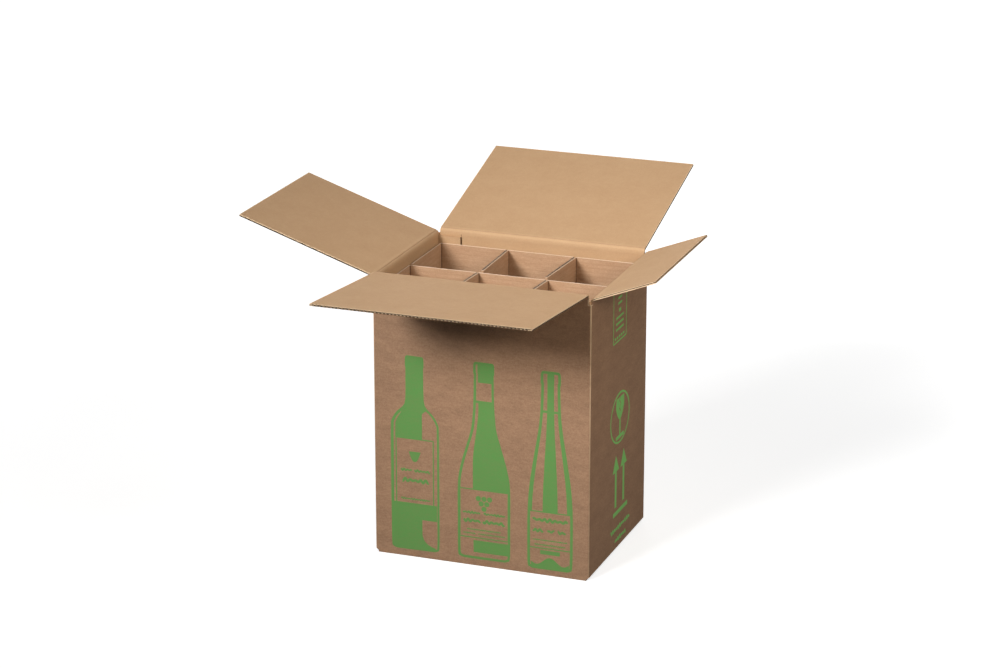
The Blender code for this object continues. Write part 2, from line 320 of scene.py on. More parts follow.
def carton_material(colours):
    """Corrugated kraft board, folded and glued: brown outside, paler inside, scuffed at its folds."""
    middle = board_thickness / 2
    middle_blur = middle / 10
    fold_width = 1.6 * millimetre
    fold_blur = 0.4 * millimetre
    fold_line_patch_size = 14.0 * millimetre
    fold_line_low, fold_line_high = 150.0 * millimetre, 390.0 * millimetre
    slot_rim = 0.8 * millimetre
    slot_skin = 0.15 * millimetre
    flutes_from, flutes_to = -2.4 * millimetre, -1.1 * millimetre
    flutes_blur = 0.2 * millimetre

    material, tree, place = start_material("kraft_board_walls")
    outer, grain = liner_look(tree, place, colours.outer, colours.outer_dark)
    inner, _ = liner_look(tree, place, colours.inner, colours.inner_dark, tone=inner_tone)
    away = add(tree, "VectorMath", {0: place}, operation="ABSOLUTE")["Vector"]
    past = add(tree, "VectorMath", {0: away, 1: (half_length, half_depth, 0)}, operation="SUBTRACT")["Vector"]
    past_x, past_y, z = add(tree, "SeparateXYZ", {0: past})
    limits = (past_x, -middle, middle_blur), (past_y, -middle, middle_blur), (z, middle, -sharp)
    outside = either(tree, *(where(tree, 1.0, limit) for limit in limits))
    colour = tab_line(tree, place, paint(tree, inner, (outside, outer)), colours)

    # The upright folds get a thin pale line, most of all near the top: partly rubbed kraft, partly painted
    # highlight on the rounded fold
    fold_line_noise = add(tree, "TexNoise", {"Vector": place, "Scale": 1 / fold_line_patch_size, "Detail": 3.0})["Fac"]
    fold_line_patches = add(tree, "MapRange", {
        "Value": fold_line_noise, "From Min": 0.3, "From Max": 0.6, "To Min": 0.65})["Result"]
    higher = add(tree, "MapRange", {
        "Value": z, "From Min": fold_line_low, "From Max": fold_line_high, "To Min": 0.3})["Result"]
    fold_line_strength = add(tree, "Math", {0: fold_line_patches, 1: higher}, operation="MULTIPLY")["Value"]
    fold = where(tree, fold_line_strength, (past_x, -fold_width, fold_blur), (past_y, -fold_width, fold_blur))

    # The slots between the flaps show raw board, pale liners with painted shade on the flutes between them, and
    # the punch has rubbed a pale rim round them
    def slot_box(shift, blur):
        edge = shift - slot_half_width
        return where(tree, 1.0, (past_x, edge, blur), (past_y, edge, blur), (z, slot_bottom + shift, blur))

    slot = add(tree, "Math", {
        0: slot_box(-slot_rim, slot_skin), 1: slot_box(slot_skin, slot_skin / 10)},
        operation="SUBTRACT", use_clamp=True)["Value"]
    depth = either(tree, past_x, past_y)
    flutes = where(tree, 0.8, *within(depth, flutes_from, flutes_to, flutes_blur))
    raw = paint(tree, colours.cut, (flutes, colours.core))
    finish_material(tree, paint(tree, colour, (fold, colours.cut), (slot, raw)), grain)
    return material


def flap_material(side, colours):
    """Corrugated kraft board of a top flap: pale inside, brown outside, raw at its cut edges."""
    skin = 0.12 * millimetre
    edge_depth = 0.3 * millimetre
    edge_blur = 0.1 * millimetre
    wall_depth, wall_blur = 1.3 * millimetre, 1.2 * millimetre
    rim_width, rim_blur = 0.9 * millimetre, 0.4 * millimetre
    lit_from, lit_to = 1.1 * millimetre, 0.9 * millimetre
    liner = 0.6 * millimetre
    # On its flank one liner is frayed over the flutes: the lower one of the right flap
    under = side == "right"
    upper_frayed = liner if under else 1.2 * millimetre
    lower_frayed = 1.4 * millimetre if under else liner

    material, tree, place = start_material("kraft_board_" + side + "_flap")
    outer, grain = liner_look(tree, place, colours.outer, colours.outer_dark)
    inner, _ = liner_look(tree, place, colours.inner, colours.inner_dark, tone=inner_tone)
    spot = side_frame(side)
    from_axis = add(tree, "VectorMath", {0: place, 1: tuple(spot.axis)}, operation="SUBTRACT")["Vector"]
    height, way, across = (
        add(tree, "VectorMath", {0: start, 1: tuple(direction)}, operation="DOT_PRODUCT")["Value"]
        for start, direction in ((from_axis, spot.flap_up), (from_axis, spot.flap_run), (place, spot.along)))
    off = add(tree, "Math", {0: across}, operation="ABSOLUTE")["Value"]
    corners = np.array([tuple(corner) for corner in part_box(side + "_flap")])
    reach = np.abs(corners @ spot.outward).max() - spot.axis @ spot.outward
    end = float(reach / math.cos(spot.lift))
    top = hinge_offset + board_thickness

    # A cut edge is pale, and the flutes that open in it are painted with shade: dark inside and shaded in their
    # upper half
    free_end = (way, end - edge_depth, edge_blur)
    flank = (off, spot.half_width - edge_depth, edge_blur)
    lit = add(tree, "MapRange", {
        "Value": height, "From Min": top - lit_from, "From Max": hinge_offset + lit_to})["Result"]
    walls = paint(tree, colours.shaded_fluting, (lit, colours.cut))
    high_liner = either(
        tree, where(tree, 1.0, free_end, (height, top - liner, edge_blur)),
        where(tree, 1.0, flank, (height, top - upper_frayed, edge_blur)))
    low_liner = where(tree, 1.0, (height, hinge_offset + lower_frayed, -sharp))
    # Painted shade also darkens the flank and, except on the right flap, the lower liner's cut edge
    cut = paint(
        tree, colours.core, (where(tree, 1.0, (way, end - wall_depth, wall_blur)), walls),
        (where(tree, 0.75, flank), colours.core), (high_liner, colours.cut),
        (low_liner, colours.cut if under else colours.core))

    # The knife leaves the liner's rim pale
    rim = either(
        tree, where(tree, 0.75, (way, end - rim_width, rim_blur)),
        where(tree, 0.75, (off, spot.half_width - rim_width, rim_blur)))
    colour = paint(
        tree, cut, (where(tree, 1.0, (height, top - skin, skin)), paint(tree, inner, (rim, colours.cut))),
        (where(tree, 1.0, (height, hinge_offset + skin, -sharp)), outer))
    finish_material(tree, colour, washboard(tree, grain, across, flute_pitch, 0.12))
    return material


def divider_material(name, folds, gaps, colours):
    """Thin corrugated board, die-cut and folded: its fine level flutes press through, with painted shade as
    darker streaks.

    folds are the places, seen from above, where the strip is folded inwards. gaps are the slits
    between the two plies of a partition: (root, lean, back, front), seen from above too. The flutes
    are drawn two pitches wide, so that they show in the render, and drift up and down by a noise.
    """
    wander_size = 60.0 * millimetre
    drift = 3.0 * millimetre
    fold_half = 0.7 * millimetre
    gap_half = ply_gap / 2 + 0.15 * millimetre
    gap_front, gap_back = 3.0 * millimetre, 1.0 * millimetre

    material, tree, place = start_material("thin_board_" + name)
    face, grain = liner_look(tree, place, colours.divider, colours.divider_dark, band=(1.0, 1.0, 6.0))
    x, y, z = add(tree, "SeparateXYZ", {0: place})
    wander = add(tree, "TexNoise", {"Vector": place, "Scale": 1 / wander_size, "Detail": 1.0})["Fac"]
    level = add(tree, "Math", {0: wander, 1: drift, 2: z}, operation="MULTIPLY_ADD")["Value"]
    # The streaks are painted shade of the flutes' relief, patchy along the board
    wave = washboard(tree, 0.0, level, 2 * divider_flute_pitch, 1.0)
    patchy = add(tree, "MapRange", {
        "Value": wander, "From Min": 0.35, "From Max": 0.65, "To Min": 0.1, "To Max": 0.5})["Result"]
    colour = paint(tree, face, (where(tree, patchy, (wave, 0.4, 1.2)), colours.divider_dark))

    # Each fold gets a dark line of painted shade on its inner side, in the crease
    for fold_x, fold_y in folds:
        line = where(
            tree, 0.6, *within(x, fold_x - fold_half, fold_x + fold_half),
            *within(y, fold_y - fold_half, fold_y + fold_half))
        colour = paint(tree, colour, (line, colours.core))

    # No light comes far down between the two plies of a partition
    for root, lean, back, front in gaps:
        middle = add(tree, "MapRange", {
            "Value": y, "From Min": back, "From Max": front, "To Min": root, "To Max": root + lean})["Result"]
        off = add(tree, "Math", {0: x, 1: middle}, operation="SUBTRACT")["Value"]
        gap = where(
            tree, 1.0, *within(off, -gap_half, gap_half), *within(y, front + gap_front, back - gap_back))
        colour = paint(tree, colour, (gap, colours.core))
    finish_material(tree, colour, washboard(tree, grain, z, divider_flute_pitch, 0.25))
    return material


def crease_material(colours, side_name, inside):
    """Liner pressed in a crease: the same kraft, paler where it is stretched, with painted shade in the groove.
    """
    material, tree, place = start_material("pressed_liner_" + side_name)
    base, dark = (colours.inner, colours.inner_dark) if inside else (colours.outer, colours.outer_dark)
    face, grain = liner_look(tree, place, base, dark, tone=inner_tone if inside else 1.0)
    stretch_and_shade = add(tree, "Attribute", attribute_name="stretch_and_shade")["Fac"]
    stretched, sunk = (
        add(tree, "Math", {0: stretch_and_shade, 1: share}, operation="MULTIPLY", use_clamp=True)["Value"]
        for share in (0.15, -0.6))
    # The groove is painted dark in the fibres' colour, as painted shade
    colour = paint(tree, face, (stretched, colours.cut), (sunk, colours.outer_dark))
    if inside:
        colour = tab_line(tree, place, colour, colours)
    finish_material(tree, colour, grain)
    return material


def edge_material(colours):
    """Die-cut edge of thin board: two pale liners with painted shade in the open flute between them."""
    tear_size = 4.0 * millimetre
    material, tree, place = start_material("cut_edge_thin_board")
    depth = add(tree, "Attribute", attribute_name="depth")["Fac"]
    ragged = add(tree, "TexNoise", {"Vector": place, "Scale": 1 / tear_size, "Detail": 2.0})["Fac"]
    uneven = add(tree, "MapRange", {
        "Value": ragged, "From Min": 0.3, "From Max": 0.7, "To Min": 0.55})["Result"]
    share = add(tree, "Math", {0: depth, 1: uneven}, operation="MULTIPLY")["Value"]
    finish_material(tree, paint(tree, colours.thin_cut, (share, colours.core)), ragged)
    return material


def ink_material(name, strong, board):
    """Water-based ink printed on kraft: it soaks in, so the pulp's clouds and fibres show through."""
    material, tree, place = start_material("green_print_" + name)
    weak = tuple(0.8 * ink + 0.2 * pulp for ink, pulp in zip(strong, board))
    colour, grain = liner_look(tree, place, strong, weak)
    finish_material(tree, colour, grain, roughness=0.7)
    return material


def put_piece(name, points, faces, material, body=None, attribute=None):
    """An object from points and faces, its faces turned outwards, riding on a body."""
    mesh = bpy.data.meshes.new(name)
    mesh.from_pydata(np.asarray(points).tolist(), [], faces)
    if attribute:
        layer = mesh.attributes.new(attribute[0], "FLOAT", "POINT")
        layer.data.foreach_set("value", np.asarray(attribute[1], np.float32))
    bm = bmesh.new()
    bm.from_mesh(mesh)
    bmesh.ops.recalc_face_normals(bm, faces=bm.faces)
    if bm.calc_volume(signed=True) < 0:
        bmesh.ops.reverse_faces(bm, faces=bm.faces)
    bm.to_mesh(mesh)
    bm.free()
    mesh.materials.append(material)
    piece = bpy.data.objects.new(name, mesh)
    bpy.context.scene.collection.objects.link(piece)
    if body:
        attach(piece, body)
    return piece


def tube_faces(rows, loop):
    """Faces of rows of closed loops: each point to the next in its loop and in the next row, ends capped."""
    index = np.arange(rows * loop).reshape(rows, loop)
    ahead = np.roll(index, -1, axis=1)
    quads = np.stack((index[:-1], ahead[:-1], ahead[1:], index[1:]), axis=-1).reshape(-1, 4).tolist()
    return quads + [index[0].tolist(), index[-1][::-1].tolist()]


def smooth_curve(points, steps):
    """A curve through points: between two of them a cubic whose ends point along their neighbours."""
    points = np.asarray(points, float)
    ends = np.vstack((2 * points[0] - points[1], points, 2 * points[-1] - points[-2]))
    share = np.linspace(0, 1, steps, endpoint=False)[:, None]
    before, first, second, after = ends[:-3], ends[1:-2], ends[2:-1], ends[3:]
    parts = [
        0.5 * (2 * b + (c - a) * share + (2 * a - 5 * b + 4 * c - d) * share ** 2
               + (3 * b - a - 3 * c + d) * share ** 3)
        for a, b, c, d in zip(before, first, second, after)
    ]
    return np.vstack(parts + [points[-1:]])


def unevenness(run, seed):
    """A number from -1 to 1 along a run in metres: the mean of four sines of unlike lengths."""
    waves = (211.0, 127.0, 58.0, 31.0)
    total = sum(np.sin(2 * math.pi * run / (wave * millimetre) + seed * (place + 1.7))
                for place, wave in enumerate(waves))
    return total / len(waves)


def crease_legs(spot, wall_corner, flap_corner):
    """Points beside a crease, by the way from its corner along the wall or flap and the way off it inwards."""
    def on_wall(way, off):
        return wall_corner - way * spot.up - off * spot.outward

    def on_flap(way, off):
        return flap_corner + way * spot.flap_run + off * spot.flap_up

    return on_wall, on_flap


def inside_profile(spot, sizes):
    """The liner inside a crease, as (face, back, stretch and painted shade of each face point).

    The face goes up the wall, round a shoulder, over a thin groove and on to the flap, and the back
    follows the mitred ends of the board. The shoulder is the curve (1-t)^2 w + 2t(1-t) x + t^2 f from
    the wall's corner w to the flap's corner f, drawn towards x, where the two faces would meet.
    """
    wall_leg, wall_bend, wall_shoulder = 9.5 * millimetre, 5.0 * millimetre, 1.5 * millimetre
    flap_root, flap_bend, flap_leg = 0.6 * millimetre, 2.4 * millimetre, 4.5 * millimetre
    film = 0.05 * millimetre
    sunk = 0.02 * millimetre
    gap = hinge_offset + crease_clearance + board_thickness
    face_offset = hinge_offset + board_thickness
    wall_corner = -face_offset * spot.outward - gap * spot.up
    flap_corner = gap * spot.flap_run + face_offset * spot.flap_up
    on_wall, on_flap = crease_legs(spot, wall_corner, flap_corner)
    way = (flap_corner - wall_corner) @ spot.outward / math.cos(spot.lift)
    meeting = on_flap(-way, 0)
    share = np.array((0.22, 0.42, 0.60, 0.74, 0.82, 0.90))[:, None]
    swell = sizes.ridge * np.array((1, 1, 0.8, 0.5, 0, 0.3))[:, None]
    swell[4] = -sizes.groove
    shoulder = (1 - share) ** 2 * wall_corner + 2 * share * (1 - share) * meeting + share ** 2 * flap_corner
    face = np.vstack((
        on_wall(wall_leg, -sunk),
        on_wall(wall_bend, 0.4 * sizes.ridge),
        on_wall(wall_shoulder, sizes.ridge),
        shoulder + swell * spot.mid,
        on_flap(flap_root, 0.6 * sizes.ridge),
        on_flap(flap_bend, 0.3 * sizes.ridge),
        on_flap(flap_leg, -sunk),
    ))
    back = np.array((
        on_flap(flap_leg, -film), on_flap(0, -film), film * spot.mid,
        on_wall(0, -film), on_wall(wall_leg, -film)))
    # The -1 at the groove asks the crease material for painted shade there; the other values are the liner's
    # stretch
    return face, back, (0, 0.1, 0.3, 0.6, 1, 0.6, 0.2, -1, 0.2, 0.6, 0.3, 0)


def outside_profile(spot):
    """The liner outside a crease, as (face, back, stretch of each face point): a fine film that turns from wall
    to flap.
    """
    leg, bend, corner = 4.0 * millimetre, 1.5 * millimetre, 0.5 * millimetre
    fine = 0.07 * millimetre
    on_wall, on_flap = crease_legs(spot, -hinge_offset * spot.outward, hinge_offset * spot.flap_up)
    face = np.array((
        on_wall(leg, -0.3 * fine), on_wall(bend, -fine), on_wall(corner, -fine), -0.6 * fine * spot.mid,
        on_flap(corner, -fine), on_flap(bend, -fine), on_flap(leg, -0.3 * fine)))
    back = np.array((
        on_flap(leg, fine), on_flap(corner, fine), 1.5 * fine * spot.mid,
        on_wall(corner, fine), on_wall(leg, fine)))
    return face, back, (0, 0.2, 0.6, 1, 0.6, 0.2, 0)


def crease_strip(side, inside, sizes, material):
    """The liner across a crease, on one face of the board.

    The closed profile in the plane across the crease is carried along it. Its face, less the
    straight line between its ends, swells and sinks by the unevenness along the crease.
    """
    bend_reach = (2.2 if inside else 0.6) * millimetre
    spot = side_frame(side)
    face, back, weights = inside_profile(spot, sizes) if inside else outside_profile(spot)
    curve = smooth_curve(face, 4)
    stretch_and_shade = np.interp(np.linspace(0, len(face) - 1, len(curve)), np.arange(len(face)), weights)
    loop = np.vstack((curve, back))
    rows = 160 if abs(spot.along[0]) > 0.5 else 124
    run = np.linspace(-spot.half_width, spot.half_width, rows)
    swell = 0.045 * unevenness(run, 1.0 + len(side))
    chord = np.linspace(0, 1, len(curve))[:, None] * (curve[-1] - curve[0]) + curve[0]
    proud = np.vstack((curve - chord, np.zeros_like(back)))
    bump = np.exp(-((np.arange(len(loop)) - len(curve) / 2) / (len(curve) / 3.2)) ** 4)
    section = loop[None] + swell[:, None, None] * bump[None, :, None] * proud[None]
    points = (spot.axis + section + run[:, None, None] * spot.along).reshape(-1, 3)
    values = np.tile(np.concatenate((stretch_and_shade, np.zeros(len(back)))), rows)
    name = side + ("_crease_inside" if inside else "_crease_outside")
    piece = put_piece(name, points, tube_faces(rows, len(loop)), material, None, ("stretch_and_shade", values))
    tangent = (spot.flap_run + spot.up) / np.linalg.norm(spot.flap_run + spot.up)
    start, end = (tuple(spot.axis + amount * tangent) for amount in (-bend_reach, bend_reach))
    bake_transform(piece)
    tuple(start)
    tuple(end)
    return piece


def divider_plan(node):
    """Where a divider's middle line runs, seen from above, and where its folds are."""
    low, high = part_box(node)
    half = divider_board / 2
    left_x, right_x, back_y = low.x + half, high.x - half, high.y - half
    ply = (divider_board + ply_gap) / 2
    roots = [left_x + (right_x - left_x) * share for share in (1 / 3, 2 / 3)]
    folds = [(left_x + divider_board, back_y - half), (right_x - divider_board, back_y - half)]
    folds += [(root + side * (ply + half), back_y - half) for root in roots for side in (-1, 1)]
    return left_x, right_x, back_y, low.y, ply, roots, folds


def divider_path(node, leans):
    """The middle line of a divider's strip, seen from above, with its folds rounded."""
    left_x, right_x, back_y, front_y, ply, roots, _ = divider_plan(node)
    turn = 0.9 * millimetre
    nose_y = front_y + nose_setback
    points = [(left_x, front_y), (left_x, back_y - turn), (left_x + turn, back_y)]
    for x, lean in zip(roots, leans):
        points += [
            (x - ply - turn, back_y), (x - ply, back_y - turn),
            (x - ply + lean, nose_y + 0.6 * ply), (x + lean, nose_y), (x + ply + lean, nose_y + 0.6 * ply),
            (x + ply, back_y - turn), (x + ply + turn, back_y),
        ]
    points += [(right_x - turn, back_y), (right_x, back_y - turn), (right_x, front_y)]
    return np.array(points)


def divider_edge(name, path, sizes, material):
    """The cut top edge of a divider.

    A profile with two thin liners and a sunk channel between them is carried along the strip's middle line.
    Each liner's height wanders along the run. Its depth attribute is painted shade: the channel is dark on the
    plies that run to the front and paler on those that come back, and the plies that run to the front are
    shaded over their whole edge.
    """
    step = 2.5 * millimetre
    clearance = 0.03 * millimetre
    liner = 0.36 * millimetre
    channel_height = 0.04 * millimetre
    root_depth = 0.3 * millimetre
    steps = np.linalg.norm(np.diff(path, axis=0), axis=1)
    reach = np.concatenate(([0], np.cumsum(steps)))
    stations = np.unique(np.concatenate((reach, np.arange(0, reach[-1], step))))
    line = np.stack([np.interp(stations, reach, path[:, axis]) for axis in (0, 1)], axis=1)
    ahead = np.gradient(line, axis=0)
    ahead /= np.linalg.norm(ahead, axis=1)[:, None]
    side = np.stack((-ahead[:, 1], ahead[:, 0]), axis=1)
    half = divider_board / 2 - clearance
    across = np.array([
        -half, -half, -half + liner * 0.8, -half + liner, half - liner, half - liner * 0.8, half, half])
    left_lip = sizes.lip * (0.75 + 0.35 * unevenness(stations, 2.0))
    right_lip = sizes.lip * (0.75 + 0.35 * unevenness(stations, 5.0))
    low = np.full_like(stations, channel_height)
    base = np.full_like(stations, -root_depth)
    lift = np.stack((base, left_lip, left_lip * 0.9, low, low, right_lip * 0.9, right_lip, base), axis=1)
    points = np.concatenate((
        line[:, None, :] + side[:, None, :] * across[None, :, None],
        (divider_top + lift)[..., None],
    ), axis=-1)
    # Painted shade in the depth attribute: the channel, more on the plies that run to the front, and the whole
    # edge of those plies
    channel_shade = 0.6 - 0.4 * ahead[:, 1]
    shaded = 0.75 * np.clip(-ahead[:, 1], 0, 1)
    depth = np.maximum(
        channel_shade[:, None] * np.array([0.2, 0.0, 0.1, 1.0, 1.0, 0.1, 0.0, 0.2]), shaded[:, None]).ravel()
    faces = tube_faces(len(stations), len(across))
    piece = put_piece(name, points.reshape(-1, 3), faces, material, "carton", ("depth", depth))
    return piece


def slab(grid, depth):
    """Points and faces of a thin closed slab: a grid, its copy lower down, and a wall round both."""
    rows, columns = grid.shape[:2]
    index = np.arange(rows * columns).reshape(rows, columns)
    quads = np.stack((index[:-1, :-1], index[:-1, 1:], index[1:, 1:], index[1:, :-1]), axis=-1).reshape(-1, 4)
    shift = rows * columns
    rim = np.concatenate((index[0, :-1], index[:-1, -1], index[-1, :0:-1], index[:0:-1, 0]))
    after = np.roll(rim, -1)
    wall = np.stack((rim, rim + shift, after + shift, after), axis=-1)
    flat = grid.reshape(-1, 3)
    return np.vstack((flat, flat - depth)), np.vstack((quads, quads[:, ::-1] + shift, wall))


def field(heights, left, right, columns=4):
    """A filled shape on a face: at each height it runs from its left to its right edge."""
    share = np.linspace(0, 1, columns)[None, :]
    across = np.asarray(left)[:, None] * (1 - share) + np.asarray(right)[:, None] * share
    return np.stack((across, np.broadcast_to(np.asarray(heights)[:, None], across.shape)), axis=-1)


def ribbon(path, width):
    """A stroke along a line: each point is pushed both ways along the line's normal by half the width."""
    path = np.asarray(path, float)
    ahead = np.gradient(path, axis=0)
    if np.linalg.norm(path[0] - path[-1]) < 1e-9:
        ahead[0] = ahead[-1] = path[1] - path[-2]
    ahead /= np.maximum(np.linalg.norm(ahead, axis=1), 1e-12)[:, None]
    normal = np.stack((-ahead[:, 1], ahead[:, 0]), axis=1) * np.asarray(width, float)[..., None] / 2
    return np.stack((path - normal, path + normal), axis=1)


def put_print(name, shapes, side, sizes, material):
    """Flat shapes, given as (across, up) in millimetres, laid on one outer face as a film of ink."""
    outward = np.array(outwards[side], float)
    along = np.cross((0, 0, 1), outward)
    reach = half_depth if side in ("front", "rear") else half_length
    points, faces, count = [], [], 0
    for place, shape in enumerate(shapes):
        shape = np.asarray(shape) * millimetre
        film = sizes.ink_film * (1 + place / 20)
        grid = shape[..., :1] * along + shape[..., 1:] * np.array((0, 0, 1.0)) + outward * (reach + film)
        more, walls = slab(grid, outward * 1.5 * film)
        points.append(more)
        faces += (walls + count).tolist()
        count += len(more)
    piece = put_piece(name, np.vstack(points), faces, material, "carton")
    piece.visible_shadow = False
    return piece


def bottle_outline(centre, base, profile):
    """A bottle as its centre, heights and half widths: a smooth curve through its profile's points."""
    curve = smooth_curve(profile, 8)
    return centre, base + curve[:, 0], curve[:, 1]


def outline(bottle, left_stroke, right_stroke):
    """A stroke round a bottle: up its right side, over the mouth, down its left side and along its base."""
    centre, heights, halves = bottle
    right = np.stack((centre + halves, heights), axis=1)
    left = np.stack((centre - halves, heights), axis=1)[::-1]
    widths = np.repeat((right_stroke, left_stroke, right_stroke), (len(right), len(left), 1))
    return ribbon(np.vstack((right, left, right[:1])), widths)


def bottle_levels(bottle, low, high, count=40):
    """Even heights between two levels, and the bottle's half width at each."""
    levels = np.linspace(low, high, count)
    return levels, np.interp(levels, *bottle[1:])


def part_field(bottle, low, high, from_share=-1.0, to_share=1.0):
    """The part of a bottle between two heights and two shares of its width, -1 left and 1 right."""
    levels, half = bottle_levels(bottle, low, high, 24)
    return field(levels, bottle[0] + from_share * half, bottle[0] + to_share * half)


def ease(levels, start, end):
    """0 at the start and 1 at the end, level at both: three squares less two cubes of the share."""
    share = np.clip((levels - start) / (end - start), 0, 1)
    return share ** 2 * (3 - 2 * share)


def block(left, right, low, high):
    """An upright rectangle."""
    return field(np.array((low, high), float), np.full(2, left), np.full(2, right))


def disc(across, up, radius):
    """A disc: its half width at each height is the root of the radius squared less the height squared."""
    turn = np.linspace(-math.pi / 2, math.pi / 2, 25)
    half = radius * np.maximum(np.cos(turn), 0.02)
    return field(up + radius * np.sin(turn), across - half, across + half)


def loop_of(left, right, low, high):
    """The outline of a rectangle with its sides cut into short steps, so that a stroke on it stays even."""
    corners = np.array([(left, low), (left, high), (right, high), (right, low), (left, low)], float)
    share = np.linspace(0, 1, 24, endpoint=False)[:, None]
    sides = [start + (end - start) * share for start, end in zip(corners, corners[1:])]
    return np.vstack(sides + [corners[:1]])


def words(left, right, rows):
    """Rows of short wavy strokes in place of writing, like print that is too fine to read.

    Each row is (height, size, (start, end) shares of the width...). A stroke follows a sine whose
    height swells and sinks by a second, longer sine.
    """
    strokes = []
    for height, size, *parts in rows:
        for start, end in parts:
            run = np.arange(left + (right - left) * start, left + (right - left) * end, 0.5)
            swell = 0.22 * size * (1 + 0.6 * np.sin(run / (0.7 * size)))
            wave = height + swell * np.sin(2 * math.pi * run / (1.1 * size))
            strokes.append(ribbon(np.stack((run, wave), axis=1), 0.5 * size))
    return strokes


def high_shoulder_bottle(stroke):
    """High shoulders: a dark neck and foot, a hollow glint at the foot, a label with a cup and marks."""
    centre, base = -98.3, 12.5
    neck_low, neck_top, label_low, label_high, foot_high = 226, 297, 80, 177, 57
    glint_right, glint_swell, glint_from, glint_reach = 10, 21, 37, 20
    cup_middle, cup_half, cup_low, cup_high = -99, 9, 143, 158
    bottle = bottle_outline(centre, base, high_shoulder_profile)
    levels, half = bottle_levels(bottle, label_high, neck_low + 1)
    shoulder = field(
        levels, centre - half + 4.5 * ease(levels, 224, 212),
        centre + np.minimum(half, 10.5 + 12 * ease(levels, 214, 226)))
    levels, half = bottle_levels(bottle, base + 0.5, foot_high + 0.5)
    hollow = 1 - np.sqrt(1 - np.clip((glint_from - levels) / glint_reach, 0, 0.999) ** 2)
    foot = field(levels, centre - half + 1, centre + glint_right + glint_swell * hollow)
    levels = np.linspace(cup_low, cup_high, 12)
    cup_edge = cup_half * np.sqrt((levels - cup_low + 0.5) / (cup_high - cup_low + 1))
    return [
        outline(bottle, 1.4 * stroke, stroke),
        part_field(bottle, neck_low, neck_top),
        shoulder,
        foot,
        part_field(bottle, foot_high, label_low + 1, -0.97, 0.94),
        ribbon(loop_of(-127, -71, label_low, label_high), stroke * 0.55),
        field(levels, cup_middle - cup_edge, cup_middle + cup_edge),
        *words(-120, -76, (
            (130, 4.6, (0.0, 0.38), (0.46, 1.0)), (115, 7.0, (0.05, 0.95)), (87, 3.4, (0.0, 1.0)))),
    ]


def sloping_bottle(stroke):
    """Sloping shoulders: a dark right side, a pale left side, a label with grapes and marks."""
    centre, base = 4.5, 12.0
    cap_low, cap_top, collar_low, collar_high, label_low, label_high = 272, 299, 242, 245.5, 42, 114
    grape_up, grape_radius = 96, 3.8
    grapes = ((-8.4, 5.0), (0, 5.0), (8.4, 5.0), (-4.2, -2.4), (4.2, -2.4), (0, -9.8))
    bottle = bottle_outline(centre, base, sloping_profile)
    levels, half = bottle_levels(bottle, label_high, 244)
    return [
        outline(bottle, 1.25 * stroke, 1.1 * stroke),
        part_field(bottle, cap_low, cap_top, -0.68, 1),
        part_field(bottle, collar_low, collar_high),
        field(levels, centre - np.minimum(half, 8.0 + 8.5 * ease(levels, 236, 150)), centre + half),
        part_field(bottle, 20, 38, -0.42, 0.97),
        ribbon(loop_of(-31.5, 40.5, label_low, label_high), stroke * 0.55),
        *(disc(centre + x, grape_up + z, grape_radius) for x, z in grapes),
        *words(-27, 36, (
            (79, 4.4, (0.0, 0.42), (0.5, 1.0)), (67, 6.4, (0.02, 0.42), (0.48, 0.98)),
            (54, 2.6, (0.1, 0.9)), (48, 2.6, (0.0, 0.3), (0.36, 1.0)))),
    ]


def slim_bottle(stroke):
    """Tall and slim: a dark band down its middle, thin sides, a wavy foot, a label with marks."""
    centre, base = 102.3, 10.5
    label_low, label_high, neck_low, mouth = 40, 94, 240, 297
    foot_low, foot_middle, foot_swell, foot_half = 11.5, 21, 5.5, 28
    bottle = bottle_outline(centre, base, slim_profile)
    levels, half = bottle_levels(bottle, label_high, mouth)
    run = np.linspace(centre - foot_half + 0.2, centre + foot_half + 0.2, 33)
    hill = foot_middle + foot_swell * np.cos((run - centre) / foot_half * math.pi * 1.4)
    return [
        outline(bottle, 1.3 * stroke, 1.3 * stroke),
        field(levels, centre - half * 0.33 - 0.8, centre + half * 0.33 + 0.8),
        part_field(bottle, label_high, neck_low, -1, -0.86),
        part_field(bottle, label_high, neck_low, 0.8, 1),
        part_field(bottle, neck_low, neck_low + 3.5),
        field(run, np.full(33, foot_low), hill)[..., ::-1],
        block(88, 117, 31, 37),
        ribbon(loop_of(72, 133, label_low, label_high), stroke * 0.55),
        *words(77, 128, (
            (82, 7.0, (0.0, 1.0)), (66, 6.0, (0.0, 0.3), (0.42, 0.62), (0.72, 0.95)),
            (52, 2.6, (0.0, 1.0)), (45, 2.6, (0.05, 0.95)))),
    ]


def glass_sign(stroke):
    """The sign for what breaks: a cracked glass with a stem and a foot, in a ring."""
    middle, ring_up, ring_across, ring_high = 5.4, 199, 41, 36.5
    bowl_low, bowl_high, crack_low, crack_half, bowl_half = 197, 229, 207, 1.3, 18
    turn = np.linspace(0, 2 * math.pi, 97)
    ring = np.stack((middle + ring_across * np.cos(turn), ring_up + ring_high * np.sin(turn)), axis=1)
    ring[-1] = ring[0]
    levels = np.linspace(bowl_low, bowl_high, 37)
    bulge = np.sqrt(np.clip((levels - bowl_low + 0.5) / bowl_half, 0, 1))
    half = bowl_half * bulge - np.clip(levels - 215, 0, None) * 0.10
    zigzag = 3.0 * np.abs((levels - crack_low) % 12 - 6) / 3 - 3.0
    split = np.clip(levels - crack_low, 0, 1)
    return [
        ribbon(ring, stroke),
        field(levels, middle - half, middle + (zigzag - crack_half) * split + 0.2),
        field(levels, middle + (zigzag + crack_half) * split - 0.2, middle + half),
        block(3.0, 7.8, 173, 199),
        block(-12, 23, 168.0, 173.5),
    ]


